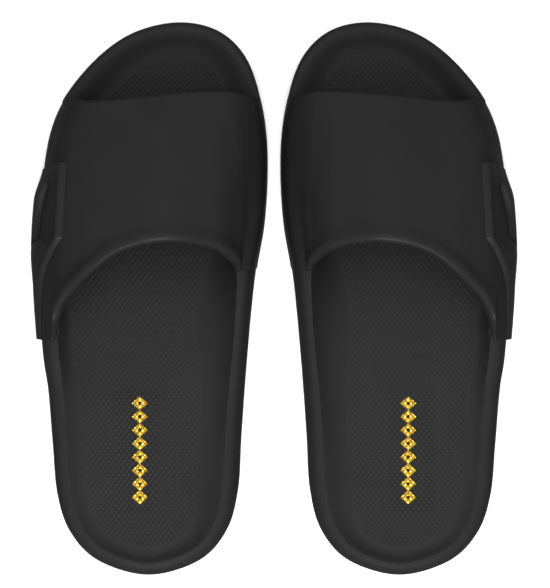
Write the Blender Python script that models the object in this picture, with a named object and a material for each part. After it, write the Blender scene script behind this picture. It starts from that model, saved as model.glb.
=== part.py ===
"""A pair of chunky foam slides: two open-toe, open-heel sandals, one the mirror image of the other.

Each slide is a rubber outsole with a tread, a cupped foam midsole with a rolled rim, a textured footbed
let into it, a wide strap whose skirts are bonded into the midsole's sides, a raised wing on the strap's
outer side and a foil emblem under the heel. The sole flexes just behind the strap, so its three layers
are parted there into a forefoot and a heel half that turn about one hinge line.

The script works in millimetres and writes metres. The frame has +Y towards the toes and +Z up, with its
origin on the floor in the middle of the pair. One slide is described in (u, y, z), where u is the
distance from the mid plane of the pair, so that u grows from the big-toe side to the outer side.
"""

import math

import bmesh
import bpy
import numpy as np
from mathutils import Vector

MM = 0.001

# Driving dimensions, in millimetres.
GAP = 0.3  # clearance between bonded pieces
OUTSOLE_THICKNESS = 5.0
FOOTBED_THICKNESS = 4.0
STRAP_THICKNESS = 6.0
STRAP_FRONT_THICKNESS = 5.0
BEAD_THICKNESS = 8.4  # the strap's rolled rear edge
WING_THICKNESS = 2.6
WINDOW_THICKNESS = 0.9  # the wing inside its sunken window
WING_ROOT = 1.0  # how far the wing reaches into the strap before the strap's shape is taken out of it
EMBLEM_THICKNESS = 0.5
MIDDLE_U = 66.0  # from the pair's mid plane to the middle of a slide
HINGE_Y = -44.0
HINGE_Z = 39.5  # just above the rim, so that the halves only ever open below it

# The sole's outline, as (u, y) from the toe tip round the outer side, the heel and the inner side.
OUTLINE = (
    (47.0, 142.5), (68.7, 138.7), (86.6, 128.3), (103.3, 110.8), (113.9, 92.2), (119.3, 67.4),
    (122.2, 25.0), (119.5, -25.5), (116.6, -47.0), (114.3, -75.0), (111.9, -101.0), (105.2, -120.5),
    (90.5, -135.3), (64.7, -142.5), (39.0, -135.3), (24.7, -120.0), (18.6, -99.0), (16.8, -70.0),
    (14.0, -31.7), (10.0, 10.0), (5.0, 40.0), (3.5, 72.0), (6.0, 98.4), (13.6, 122.8), (27.4, 137.4),
)
OUTLINE_STEPS = 12  # points on each span of the outline
HEEL_CENTRE_Y = -93.0  # the ends of the sole's spine, where its round ends are centred
TOE_CENTRE_Y = 88.0
STATIONS = 18  # spans along each side between those centres
FAN_POINTS = 11  # points round each end

# Heights along the length, as (y, height). The underside curves up at the toe and a little at the heel.
TOE_SPRING_FROM, TOE_SPRING = 45.0, 8.0
HEEL_LIFT_FROM, HEEL_LIFT = -115.0, 2.5
TOE_TIP_Y, HEEL_TIP_Y = 142.5, -142.5
RIM_INNER_SIDE = (
    (-142.5, 31.5), (-100, 33), (-60, 35), (-20, 39), (14, 43.5),
    (50, 37), (80, 32), (106, 28), (142.5, 27.5),
)
RIM_OUTER_SIDE = (
    (-142.5, 31), (-105, 29.5), (-75, 29.5), (-50, 31), (-25, 37), (-6, 39),
    (30, 36.5), (70, 32), (104, 28), (142.5, 27.5),
)
FOOTBED_HEIGHT = (
    (-142.5, 29), (-120, 27.5), (-95, 26.5), (-50, 26.5), (-10, 25),
    (40, 21.5), (80, 20), (104, 20.5), (142.5, 24),
)
# Width of the rim and its inner slope, from the outline to the footbed's edge, as (y, width).
SLOPE_INNER_SIDE = (
    (-142.5, 12.5), (-100, 21), (-60, 21), (-40, 23), (-16, 27),
    (10, 25), (60, 17), (100, 16), (142.5, 16),
)
SLOPE_OUTER_SIDE = ((-142.5, 12.5), (-100, 15), (-40, 16), (0, 17), (60, 15), (100, 16), (142.5, 16))

# The outsole's edge, as (inset from the outline, height over the underside).
OUTSOLE_EDGE = ((2.4, 0.0), (0.2, 1.8), (0.2, OUTSOLE_THICKNESS - 0.8), (1.2, OUTSOLE_THICKNESS))

# The midsole's wall, as (inset from the outline, share of the height from its foot to the rim's crest).
WALL = ((1.2, 0.0), (0.0, 0.28), (0.5, 0.6), (1.9, 0.8), (4.0, 0.94), (6.4, 1.0))
RIM_INNER_EDGE, RIM_INNER_DROP = 8.6, 1.3
SLOPE_STEPS = (0.3, 0.62, 1.0)
SLOPE_CURVE = 1.7  # above 1, so that the slope flattens towards the footbed

# The strap's middle surface, row by row from the inner side's skirt over the crown to the outer skirt.
# Each row has its front end and its rear end, as (u, y, height above the underside).
STRAP_ROWS = (
    ((10.4, 103.0, 5.7), (12.3, 20.4, 5.7)),
    ((10.0, 103.2, 16.0), (11.9, 20.4, 18.0)),
    ((11.0, 103.6, 26.0), (12.8, 20.4, 31.0)),
    ((15.5, 104.1, 34.8), (15.8, 21.2, 42.5)),
    ((24.0, 104.1, 42.2), (22.6, 25.8, 53.0)),
    ((37.0, 103.5, 48.2), (34.0, 30.2, 63.5)),
    ((53.0, 102.2, 51.2), (54.0, 31.8, 70.0)),
    ((69.0, 100.6, 50.2), (75.0, 28.2, 67.0)),
    ((83.0, 99.3, 46.2), (91.0, 20.6, 59.5)),
    ((94.5, 98.9, 39.5), (103.5, 11.6, 49.5)),
    ((102.2, 99.6, 31.0), (112.6, -2.0, 38.5)),
    ((106.0, 101.0, 19.0), (116.8, -14.5, 24.0)),
    ((106.0, 101.3, 5.7), (116.8, -18.3, 5.7)),
)
STRAP_CROWN = 2.4  # how far the strap bulges between its two edges
STRAP_STEPS = 3  # rings on each span between two rows
STRAP_SPANS = 7  # spans from the front edge to the rear edge
BEAD_FROM = 0.8  # where the strap begins to swell into its bead, as a share of the way to the rear edge
EDGE_STEPS = 4  # spans round a rounded edge
TANGENT_STEP = 0.02  # rows or shares between the points that give the strap's directions
SKIRT_CUT_OUTSIDE, SKIRT_CUT_BELOW = 5.0, 6.0  # how far the skirts' recess is cut past the outline and below

# The wing's upper and lower edges, from its front end to its rear end, as (share, y, strap row).
WING_TOP = (
    (0.0, 69.5, 9.62), (0.44, 30.5, 9.5), (0.61, 16.0, 10.75), (0.8, 0.0, 11.25), (1.0, -17.5, 11.45),
)
WING_BOTTOM = ((0.0, 46.0, 11.9), (1.0, -17.5, 11.9))
# Lines across and along the wing, as (share, level). A point takes the lower of its two lines' levels,
# so that the window's floor lies only where floor meets floor.
EDGE, RIB, FLOOR = 0, 1, 2
WING_LIFTS = (1.5, WING_THICKNESS, WINDOW_THICKNESS)
WING_ACROSS = (
    (0.0, EDGE), (0.04, RIB), (0.12, RIB), (0.2, RIB), (0.26, FLOOR), (0.36, FLOOR), (0.47, FLOOR),
    (0.58, FLOOR), (0.64, RIB), (0.8, RIB), (0.96, RIB), (1.0, EDGE),
)
WING_ALONG = (
    (0.0, EDGE), (0.012, RIB), (0.06, RIB), (0.1, RIB), (0.125, FLOOR), (0.19, FLOOR), (0.26, FLOOR),
    (0.33, FLOOR), (0.395, FLOOR), (0.42, RIB), (0.47, RIB), (0.53, RIB), (0.59, RIB), (0.66, RIB),
    (0.74, RIB), (0.82, RIB), (0.9, RIB), (0.985, RIB), (1.0, EDGE),
)

# The tread's grooves run across the sole in a shallow V.
GROOVE_PITCH, GROOVE_WIDTH, GROOVE_DEPTH = 16.0, 3.0, 2.0
GROOVE_RISE = 7.0  # how far the V's point lies ahead of its ends
GROOVE_FIRST, GROOVE_COUNT = -124.0, 16
GROOVE_REACH, GROOVE_BELOW = 90.0, 10.0  # how far a groove's cutter runs past the sole, sideways and down
HINGE_CLEAR = 9.0  # no groove comes this near the hinge line

# The emblem is a chain of diamonds that touch at their tips.
EMBLEM_U = 69.0
EMBLEM_FRONT_Y, EMBLEM_PITCH, EMBLEM_DIAMONDS = -50.3, 6.9, 8
EMBLEM_HALF_WIDTH, EMBLEM_NECK = 4.0, 0.6

BLACK_FOAM = {"colour": (0.022, 0.022, 0.023), "roughness": 0.55}
TEXTURED_FOAM = {"colour": (0.024, 0.024, 0.025), "roughness": 0.6}
BLACK_RUBBER = {"colour": (0.014, 0.014, 0.015), "roughness": 0.7}
GOLD_FOIL = {"colour": (0.62, 0.44, 0.11), "roughness": 0.3, "metallic": 1.0}


def curve_through(knots, at):
    """A smooth curve through rows of numbers whose first column rises: its other columns at each place."""
    knots = np.array(knots, float)
    x, values = knots[:, 0], knots[:, 1:]
    slopes = np.gradient(values, x, axis=0)
    at = np.clip(np.atleast_1d(at).astype(float), x[0], x[-1])
    span = np.clip(np.searchsorted(x, at, side="right") - 1, 0, len(x) - 2)
    width = (x[span + 1] - x[span])[:, None]
    f = ((at - x[span]) / width[:, 0])[:, None]
    start, end = values[span], values[span + 1]
    return (
        (2 * f**3 - 3 * f**2 + 1) * start
        + (f**3 - 2 * f**2 + f) * width * slopes[span]
        + (3 * f**2 - 2 * f**3) * end
        + (f**3 - f**2) * width * slopes[span + 1]
    )


def height_on(knots, y):
    return curve_through(knots, y)[:, 0]


def underside(y):
    """Height of the sole's underside: flat from the heel to the ball, then rising to the toe."""
    y = np.asarray(y, float)
    toe = np.clip((y - TOE_SPRING_FROM) / (TOE_TIP_Y - TOE_SPRING_FROM), 0, 1)
    heel = np.clip((HEEL_LIFT_FROM - y) / (HEEL_LIFT_FROM - HEEL_TIP_Y), 0, 1)
    return TOE_SPRING * toe**2 + HEEL_LIFT * heel**2


def closed_outline():
    """The outline as points of a smooth closed curve through OUTLINE."""
    corners = np.array(OUTLINE)
    points = []
    for i, start in enumerate(corners):
        before, end, after = corners[i - 1], corners[(i + 1) % len(corners)], corners[(i + 2) % len(corners)]
        second = 2 * before - 5 * start + 4 * end - after
        third = 3 * start - before - 3 * end + after
        for f in np.arange(OUTLINE_STEPS) / OUTLINE_STEPS:
            points.append(start + 0.5 * ((end - before) * f + second * f**2 + third * f**3))
    return np.array(points)


CURVE = closed_outline()
TOE_INDEX, HEEL_INDEX = int(CURVE[:, 1].argmax()), int(CURVE[:, 1].argmin())
OUTER_SIDE = np.roll(CURVE, -TOE_INDEX, axis=0)[: (HEEL_INDEX - TOE_INDEX) % len(CURVE) + 1][::-1]
INNER_SIDE = np.roll(CURVE, -HEEL_INDEX, axis=0)[: (TOE_INDEX - HEEL_INDEX) % len(CURVE) + 1]


def outer_u(y):
    return np.interp(y, OUTER_SIDE[:, 1], OUTER_SIDE[:, 0])


def inner_u(y):
    return np.interp(y, INNER_SIDE[:, 1], INNER_SIDE[:, 0])


def round_end(centre, from_angle, to_angle):
    """Points on the outline round one end of the sole, at even angles about centre, ends left out."""
    toward = CURVE - centre
    angles = np.unwrap(np.arctan2(toward[:, 1], toward[:, 0]))
    order = np.argsort(angles)
    low = angles[order][0]
    wanted = np.linspace(from_angle, to_angle, FAN_POINTS + 2)[1:-1]
    at = low + (wanted - low) % (2 * math.pi)
    closed_angles = np.append(angles[order], low + 2 * math.pi)
    closed_points = np.vstack([CURVE[order], CURVE[order[0]]])
    return np.stack([np.interp(at, closed_angles, closed_points[:, k]) for k in (0, 1)], axis=1)


def angle_of(point, centre):
    return math.atan2(point[1] - centre[1], point[0] - centre[0])


class SoleRings:
    """Rings of matching points round the sole: up the outer side, round the toe, down the inner side
    and round the heel. Every point has a partner on the spine that runs down the middle."""

    def __init__(self):
        y = np.linspace(HEEL_CENTRE_Y, TOE_CENTRE_Y, STATIONS + 1)
        outer = np.stack([outer_u(y), y], axis=1)
        inner = np.stack([inner_u(y), y], axis=1)[::-1]
        self.spine = np.stack([(outer_u(y) + inner_u(y)) / 2, y], axis=1)
        toe_centre, heel_centre = self.spine[-1], self.spine[0]
        toe = round_end(toe_centre, angle_of(outer[-1], toe_centre), angle_of(inner[0], toe_centre))
        heel = round_end(heel_centre, -math.pi, 0.0)
        self.edge = np.vstack([outer, toe, inner, heel])
        last = STATIONS
        self.partner = np.array(
            list(range(last + 1)) + [last] * FAN_POINTS + list(range(last, -1, -1)) + [0] * FAN_POINTS
        )
        fan = np.arange(1, FAN_POINTS + 1) / (FAN_POINTS + 1)
        self.outerness = np.concatenate([np.ones(last + 1), 1 - fan, np.zeros(last + 1), fan])
        inward = self.spine[self.partner] - self.edge
        self.reach = np.linalg.norm(inward, axis=1)
        self.inward = inward / self.reach[:, None]

    def inset(self, distance):
        """The outline drawn in by distance, which may differ from point to point."""
        return self.edge + self.inward * np.broadcast_to(distance, self.reach.shape)[:, None]

    def between(self, ring, share):
        """The ring drawn a share of the way to the spine."""
        return ring + (self.spine[self.partner] - ring) * share

    def by_side(self, inner_knots, outer_knots, y):
        return height_on(inner_knots, y) * (1 - self.outerness) + height_on(outer_knots, y) * self.outerness


RINGS = SoleRings()


def with_height(ring, height):
    """A ring of plan points at one height, or at a height for each."""
    return np.column_stack([ring, np.broadcast_to(height, len(ring))])


def rim_height(y):
    return RINGS.by_side(RIM_INNER_SIDE, RIM_OUTER_SIDE, y)


def slope_width(y):
    return RINGS.by_side(SLOPE_INNER_SIDE, SLOPE_OUTER_SIDE, y)


def footbed_height(y):
    return height_on(FOOTBED_HEIGHT, y)


def spine_at(height):
    """The spine's points at the heights that a function of y gives."""
    return with_height(RINGS.spine, height(RINGS.spine[:, 1]))


def disc_between(bottom_spine, rings, top_spine):
    """A closed body from its underside's spine, out through rings and in again to its top's spine."""
    body = bmesh.new()
    partner, count = RINGS.partner, len(RINGS.partner)
    bottom = [body.verts.new(p) for p in bottom_spine]
    top = [body.verts.new(p) for p in top_spine]
    loops = [[bottom[k] for k in partner]]
    loops += [[body.verts.new(p) for p in ring] for ring in rings]
    loops.append([top[k] for k in partner])
    for low, high in zip(loops, loops[1:]):
        for i in range(count):
            j = (i + 1) % count
            corners = list(dict.fromkeys([low[i], low[j], high[j], high[i]]))
            if len(corners) > 2:
                body.faces.new(corners)
    return body


def tube_through(loops):
    """A closed body through loops of matching points, with a flat cap on each end."""
    body = bmesh.new()
    rings = [[body.verts.new(p) for p in loop] for loop in loops]
    for low, high in zip(rings, rings[1:]):
        for i in range(len(low)):
            j = (i + 1) % len(low)
            body.faces.new([low[i], low[j], high[j], high[i]])
    body.faces.new(rings[0][::-1])
    body.faces.new(rings[-1])
    return body


def outsole_body():
    edge_y = RINGS.edge[:, 1]

    def top(y):
        return underside(y) + OUTSOLE_THICKNESS

    under_middle = RINGS.between(RINGS.inset(OUTSOLE_EDGE[0][0]), 0.5)
    top_middle = RINGS.between(RINGS.inset(OUTSOLE_EDGE[-1][0]), 0.5)
    rings = [with_height(under_middle, underside(under_middle[:, 1]))]
    rings += [with_height(RINGS.inset(inset), underside(edge_y) + height) for inset, height in OUTSOLE_EDGE]
    rings.append(with_height(top_middle, top(top_middle[:, 1])))
    return disc_between(spine_at(underside), rings, spine_at(top))


def midsole_foot(y):
    return underside(y) + OUTSOLE_THICKNESS + GAP


def recess_floor(y):
    return footbed_height(y) - FOOTBED_THICKNESS


def slope_rings(crest):
    """The rim's inner edge and the slope from it down to the footbed's edge."""
    edge_y = RINGS.edge[:, 1]
    width = slope_width(edge_y)
    top = crest - RIM_INNER_DROP
    foot = footbed_height(edge_y)
    rings = [with_height(RINGS.inset(RIM_INNER_EDGE), top)]
    for share in SLOPE_STEPS:
        inset = RIM_INNER_EDGE + (width - RIM_INNER_EDGE) * share
        rings.append(with_height(RINGS.inset(inset), foot + (top - foot) * (1 - share) ** SLOPE_CURVE))
    return rings


def midsole_body():
    edge_y = RINGS.edge[:, 1]
    crest = rim_height(edge_y)
    foot = midsole_foot(edge_y)
    under = RINGS.between(RINGS.inset(WALL[0][0]), 0.5)
    rings = [with_height(under, midsole_foot(under[:, 1]))]
    rings += [with_height(RINGS.inset(inset), foot + (crest - foot) * share) for inset, share in WALL]
    rings += slope_rings(crest)
    recess = RINGS.inset(slope_width(edge_y))
    rings.append(with_height(recess, recess_floor(edge_y)))
    middle = RINGS.between(recess, 0.5)
    rings.append(with_height(middle, recess_floor(middle[:, 1])))
    return disc_between(spine_at(midsole_foot), rings, spine_at(recess_floor))


def footbed_body():
    edge_y = RINGS.edge[:, 1]
    edge = RINGS.inset(slope_width(edge_y) + GAP)
    middle = RINGS.between(edge, 0.5)

    def bottom(y):
        return recess_floor(y) + GAP

    rings = [
        with_height(middle, bottom(middle[:, 1])),
        with_height(edge, bottom(edge_y)),
        with_height(edge, footbed_height(edge_y)),
        with_height(middle, footbed_height(middle[:, 1])),
    ]
    return disc_between(spine_at(bottom), rings, spine_at(footbed_height))


def strap_ends(row):
    """The front and rear ends of the strap's middle surface at a row, which may fall between two rows.
    u comes back as a share of the sole's width there, so that the skirts can follow the outline."""
    rows = np.array([np.concatenate(ends) for ends in STRAP_ROWS])
    for first in (0, 3):
        y = rows[:, first + 1]
        rows[:, first] = (rows[:, first] - inner_u(y)) / (outer_u(y) - inner_u(y))
    knots = np.column_stack([np.arange(len(rows)), rows])
    ends = curve_through(knots, row)[0]
    return ends[:3], ends[3:]


def strap_middle(row, share):
    """A point of the strap's middle surface, at a share of the way from its front edge to its rear edge."""
    front, rear = strap_ends(row)
    across, y, height = front + (rear - front) * share
    over_the_top = math.sin(math.pi * row / (len(STRAP_ROWS) - 1))
    height += STRAP_CROWN * math.sin(math.pi * min(max(share, 0.0), 1.0)) * over_the_top
    return np.array([inner_u(y) + across * (outer_u(y) - inner_u(y)), y, height + underside(y)])


def strap_frame(row, share):
    """The point, the outward normal and the rearward direction of the strap's middle surface."""
    low, high = max(row - TANGENT_STEP, 0.0), min(row + TANGENT_STEP, len(STRAP_ROWS) - 1)
    along = strap_middle(high, share) - strap_middle(low, share)
    rearward = strap_middle(row, share + TANGENT_STEP) - strap_middle(row, share - TANGENT_STEP)
    normal = np.cross(rearward, along)
    normal /= np.linalg.norm(normal)
    return strap_middle(row, share), normal, rearward / np.linalg.norm(rearward)


def strap_thickness(share):
    """Thin at the front edge, even in the middle, and swelling into the bead at the rear edge."""
    front = STRAP_FRONT_THICKNESS + (STRAP_THICKNESS - STRAP_FRONT_THICKNESS) * min(share * 4, 1.0)
    bead = (BEAD_THICKNESS - STRAP_THICKNESS) * max(0.0, (share - BEAD_FROM) / (1 - BEAD_FROM)) ** 2
    return front + bead


def strap_loop(row, grow_out=0.0, grow_in=0.0):
    """One closed section of the strap, round its outer face, rear edge, inner face and front edge."""
    shares = np.linspace(0, 1, STRAP_SPANS + 1)
    points = []
    for share in shares:
        at, normal, _ = strap_frame(row, share)
        points.append(at + normal * (strap_thickness(share) / 2 + grow_out))
    at, normal, rearward = strap_frame(row, 1.0)
    points += round_edge(at, normal, rearward, strap_thickness(1.0) / 2, grow_out, grow_in)
    for share in shares[::-1]:
        at, normal, _ = strap_frame(row, share)
        points.append(at - normal * (strap_thickness(share) / 2 + grow_in))
    at, normal, rearward = strap_frame(row, 0.0)
    points += round_edge(at, -normal, -rearward, strap_thickness(0.0) / 2, grow_in, grow_out)
    return points


def round_edge(at, normal, outward, radius, grow_first, grow_last):
    """Points round an edge, from the side the normal points to, past outward, to the other side."""
    points = []
    grow_edge = min(grow_first, grow_last)
    for step in range(1, EDGE_STEPS):
        angle = math.pi * step / EDGE_STEPS
        grow = grow_first if angle < math.pi / 2 else grow_last
        sideways = math.cos(angle) * (radius + (grow if abs(math.cos(angle)) > 0.01 else 0.0))
        points.append(at + normal * sideways + outward * math.sin(angle) * (radius + grow_edge))
    return points


def strap_loops(**grow):
    last = len(STRAP_ROWS) - 1
    return [strap_loop(row, **grow) for row in np.linspace(0, last, last * STRAP_STEPS + 1)]


def strap_cutter_body(outside):
    """The strap grown by the clearance within and by outside without, and reaching below its skirts."""
    loops = strap_loops(grow_out=outside, grow_in=GAP)
    down = np.array([0, 0, -SKIRT_CUT_BELOW])
    loops.insert(0, [p + down for p in loops[0]])
    loops.append([p + down for p in loops[-1]])
    return tube_through(loops)


def wing_point(y, row, lift):
    """A point on the strap's outer face at that y and row, lifted off it."""
    front, rear = strap_ends(row)
    share = (front[1] - y) / (front[1] - rear[1])
    at, normal, _ = strap_frame(row, share)
    return at + normal * (strap_thickness(min(share, BEAD_FROM)) / 2 + lift)


def edge_at(knots, share):
    """A point of the wing's upper or lower edge, as (y, strap row)."""
    shares, ys, rows = zip(*knots)
    return np.array([np.interp(share, shares, ys), np.interp(share, shares, rows)])


def wing_body():
    body = bmesh.new()
    outer, inner = [], []
    for along, along_level in WING_ALONG:
        top, bottom = edge_at(WING_TOP, along), edge_at(WING_BOTTOM, along)
        places = [top + (bottom - top) * across for across, _ in WING_ACROSS]
        lifts = [GAP + WING_LIFTS[min(along_level, level)] for _, level in WING_ACROSS]
        outer.append([body.verts.new(wing_point(*place, lift)) for place, lift in zip(places, lifts)])
        inner.append([body.verts.new(wing_point(*place, -WING_ROOT)) for place in places])
    for sheet in (outer, inner):
        for a, b in zip(sheet, sheet[1:]):
            for k in range(len(a) - 1):
                body.faces.new([a[k], a[k + 1], b[k + 1], b[k]])
    for (a, b), (c, d) in zip(border_of(outer), border_of(inner)):
        body.faces.new([a, b, d, c])
    return body


def border_of(grid):
    """The pairs of neighbours round the border of a grid of vertices."""
    round_it = [row[0] for row in grid] + grid[-1][1:]
    round_it += [row[-1] for row in grid[-2::-1]] + grid[0][-2:0:-1]
    return list(zip(round_it, round_it[1:] + round_it[:1]))


def emblem_body():
    """A flat chain of diamonds that follows the footbed."""
    y_of_tips = [EMBLEM_FRONT_Y - EMBLEM_PITCH * k for k in range(EMBLEM_DIAMONDS + 1)]
    stops = [(y_of_tips[0], EMBLEM_NECK)]
    for front, rear in zip(y_of_tips, y_of_tips[1:]):
        stops += [((front + rear) / 2, EMBLEM_HALF_WIDTH), (rear, EMBLEM_NECK)]
    loops = []
    for y, half_width in stops:
        low = float(footbed_height(y)[0]) + GAP
        high = low + EMBLEM_THICKNESS
        left, right = EMBLEM_U - half_width, EMBLEM_U + half_width
        loops.append([(left, y, low), (right, y, low), (right, y, high), (left, y, high)])
    return tube_through(loops)


def groove_bodies():
    """Chevron bars that cut the tread's grooves, as one mesh of separate bars."""
    body = bmesh.new()
    for k in range(GROOVE_COUNT):
        y = GROOVE_FIRST + GROOVE_PITCH * k
        if abs(y + GROOVE_RISE / 2 - HINGE_Y) < HINGE_CLEAR + GROOVE_RISE / 2:
            continue
        middle = float(outer_u(y) + inner_u(y)) / 2
        sections = []
        for u, ahead in ((middle - GROOVE_REACH, 0.0), (middle, GROOVE_RISE), (middle + GROOVE_REACH, 0.0)):
            front, rear = y + ahead + GROOVE_WIDTH / 2, y + ahead - GROOVE_WIDTH / 2
            floor = float(underside(y + ahead))
            top, low = floor + GROOVE_DEPTH, floor - GROOVE_BELOW
            sections.append([(u, rear, low), (u, front, low), (u, front, top), (u, rear, top)])
        add_body(body, tube_through(sections))
    return body


def add_body(into, other):
    """Copies other's vertices and faces into a bmesh, then frees it."""
    other.verts.index_update()
    copies = [into.verts.new(v.co) for v in other.verts]
    for face in other.faces:
        into.faces.new([copies[v.index] for v in face.verts])
    other.free()


def half_of(body, front):
    """The part of a body ahead of or behind the hinge line, closed where it was cut."""
    half = body.copy()
    direction = 1.0 if front else -1.0
    cut = bmesh.ops.bisect_plane(
        half,
        geom=half.verts[:] + half.edges[:] + half.faces[:],
        plane_co=(0, HINGE_Y + direction * GAP / 2, 0),
        plane_no=(0, direction, 0),
        clear_inner=True,
    )
    edges = [e for e in cut["geom_cut"] if isinstance(e, bmesh.types.BMEdge)]
    bmesh.ops.edgeloop_fill(half, edges=edges)
    return half


def material(name, colour, roughness, metallic=0.0):
    made = bpy.data.materials.new(name)
    made.use_nodes = True
    shader = made.node_tree.nodes["Principled BSDF"]
    shader.inputs["Base Color"].default_value = (*colour, 1)
    shader.inputs["Roughness"].default_value = roughness
    shader.inputs["Metallic"].default_value = metallic
    return made


def add_empty(name, place, parent=None):
    """An empty at a place in the frame, in millimetres."""
    empty = bpy.data.objects.new(name, None)
    empty.empty_display_size = 20 * MM
    bpy.context.scene.collection.objects.link(empty)
    put_at(empty, Vector(place) * MM, parent)
    return empty


def put_at(obj, place, parent):
    """Parents obj and sets its location so that its origin is at place, in metres."""
    obj.parent = parent
    obj.location = place - (parent.matrix_world.translation if parent else Vector())
    bpy.context.view_layer.update()


def add_object(name, body, side, parent, finish=None):
    """Mirrors a body to its side of the pair and links it as an object whose origin is its parent's."""
    origin = parent.matrix_world.translation
    for vertex in body.verts:
        u, y, z = vertex.co
        vertex.co = Vector((side * u, y, z)) * MM - origin
    bmesh.ops.recalc_face_normals(body, faces=body.faces[:])
    if body.calc_volume(signed=True) < 0:
        bmesh.ops.reverse_faces(body, faces=body.faces[:])
    mesh = bpy.data.meshes.new(name)
    body.to_mesh(mesh)
    body.free()
    obj = bpy.data.objects.new(name, mesh)
    bpy.context.scene.collection.objects.link(obj)
    put_at(obj, origin, parent)
    if finish:
        mesh.materials.append(material(f"{name}_finish", **finish))
        mesh.shade_smooth()
        mesh.set_sharp_from_angle(angle=math.radians(35))
    return obj


def cut_away(obj, cutter):
    """Takes the cutter out of obj, and keeps the cutter itself out of the part."""
    cutter.hide_render = True
    cutter.display_type = "WIRE"
    boolean = obj.modifiers.new("Cut", "BOOLEAN")
    boolean.operation = "DIFFERENCE"
    boolean.solver = "EXACT"
    boolean.object = cutter


def build_slide(name, side):
    """One slide. Its forefoot hangs on an empty on the floor, its heel on an empty on the hinge line."""
    forefoot = add_empty(f"{name}_slide", (side * MIDDLE_U, 0, 0))
    heel = add_empty(f"{name}_sole_flex", (side * MIDDLE_U, HINGE_Y, HINGE_Z), forefoot)
    skirt_cutter = add_object(f"{name}_skirt_cutter", strap_cutter_body(SKIRT_CUT_OUTSIDE), side, forefoot)
    strap_cutter = add_object(f"{name}_strap_cutter", strap_cutter_body(GAP), side, forefoot)
    groove_cutter = add_object(f"{name}_groove_cutter", groove_bodies(), side, forefoot)
    layers = (
        ("outsole", outsole_body(), BLACK_RUBBER),
        ("midsole", midsole_body(), BLACK_FOAM),
        ("footbed", footbed_body(), TEXTURED_FOAM),
    )
    for layer, whole, finish in layers:
        for half, front, parent in (("forefoot", True, forefoot), ("heel", False, heel)):
            obj = add_object(f"{name}_{layer}_{half}", half_of(whole, front), side, parent, finish)
            if layer == "outsole":
                cut_away(obj, groove_cutter)
            if layer == "midsole" and front:
                cut_away(obj, skirt_cutter)
        whole.free()
    add_object(f"{name}_strap", tube_through(strap_loops()), side, forefoot, BLACK_FOAM)
    wing = add_object(f"{name}_side_wing", wing_body(), side, forefoot, BLACK_FOAM)
    cut_away(wing, strap_cutter)
    add_object(f"{name}_heel_emblem", emblem_body(), side, heel, GOLD_FOIL)


def main():
    for obj in list(bpy.data.objects):
        bpy.data.objects.remove(obj)
    build_slide("left", -1)
    build_slide("right", 1)


main()
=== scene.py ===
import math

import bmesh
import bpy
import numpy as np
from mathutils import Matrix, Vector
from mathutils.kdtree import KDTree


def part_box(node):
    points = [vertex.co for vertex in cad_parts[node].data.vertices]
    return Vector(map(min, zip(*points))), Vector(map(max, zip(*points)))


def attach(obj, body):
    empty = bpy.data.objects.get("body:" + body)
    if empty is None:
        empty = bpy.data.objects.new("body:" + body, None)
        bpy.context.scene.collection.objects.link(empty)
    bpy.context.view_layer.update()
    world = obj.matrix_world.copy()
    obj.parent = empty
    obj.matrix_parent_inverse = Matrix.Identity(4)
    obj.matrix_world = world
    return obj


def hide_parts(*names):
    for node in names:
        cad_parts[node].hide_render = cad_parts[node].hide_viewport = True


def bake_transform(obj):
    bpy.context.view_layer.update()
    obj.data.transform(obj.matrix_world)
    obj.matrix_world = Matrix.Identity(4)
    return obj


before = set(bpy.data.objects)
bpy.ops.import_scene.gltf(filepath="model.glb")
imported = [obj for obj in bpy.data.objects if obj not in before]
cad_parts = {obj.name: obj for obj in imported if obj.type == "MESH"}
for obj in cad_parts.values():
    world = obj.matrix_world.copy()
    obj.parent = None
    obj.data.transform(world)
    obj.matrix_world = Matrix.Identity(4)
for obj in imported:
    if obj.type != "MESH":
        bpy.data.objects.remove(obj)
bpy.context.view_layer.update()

# Looks for a pair of chunky black foam slides: outsoles with a tread, cupped midsoles with a rolled rim,
# beaded footbeds, wide padded straps with a raised wing on the outer side, and gold foil under the heel.
#
# Shapes are worked out in millimetres and made in metres. One slide is described in (u, y, z), where u is
# the distance from the mid plane of the pair, +Y points to the toes and +Z up. It is then mirrored to its
# side. The outline and the heights of the sole follow the CAD part's.

MM = 0.001
SIDES = {"left": -1, "right": 1}

# The sole's outline, as (u, y) from the toe tip round the outer side, the heel and the inner side.
OUTLINE = (
    (47.0, 142.5), (68.7, 138.7), (86.6, 128.3), (103.3, 110.8), (113.9, 92.2), (119.3, 67.4),
    (122.2, 25.0), (119.5, -25.5), (116.6, -47.0), (114.3, -75.0), (111.9, -101.0), (105.2, -120.5),
    (90.5, -135.3), (64.7, -142.5), (39.0, -135.3), (24.7, -120.0), (18.6, -99.0), (16.8, -70.0),
    (14.0, -31.7), (10.0, 10.0), (5.0, 40.0), (3.5, 72.0), (6.0, 98.4), (13.6, 122.8), (27.4, 137.4),
)
OUTLINE_STEPS = 60
OUTLINE_POINTS = 540
TOE_TIP_Y, HEEL_TIP_Y = 142.5, -142.5

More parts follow.
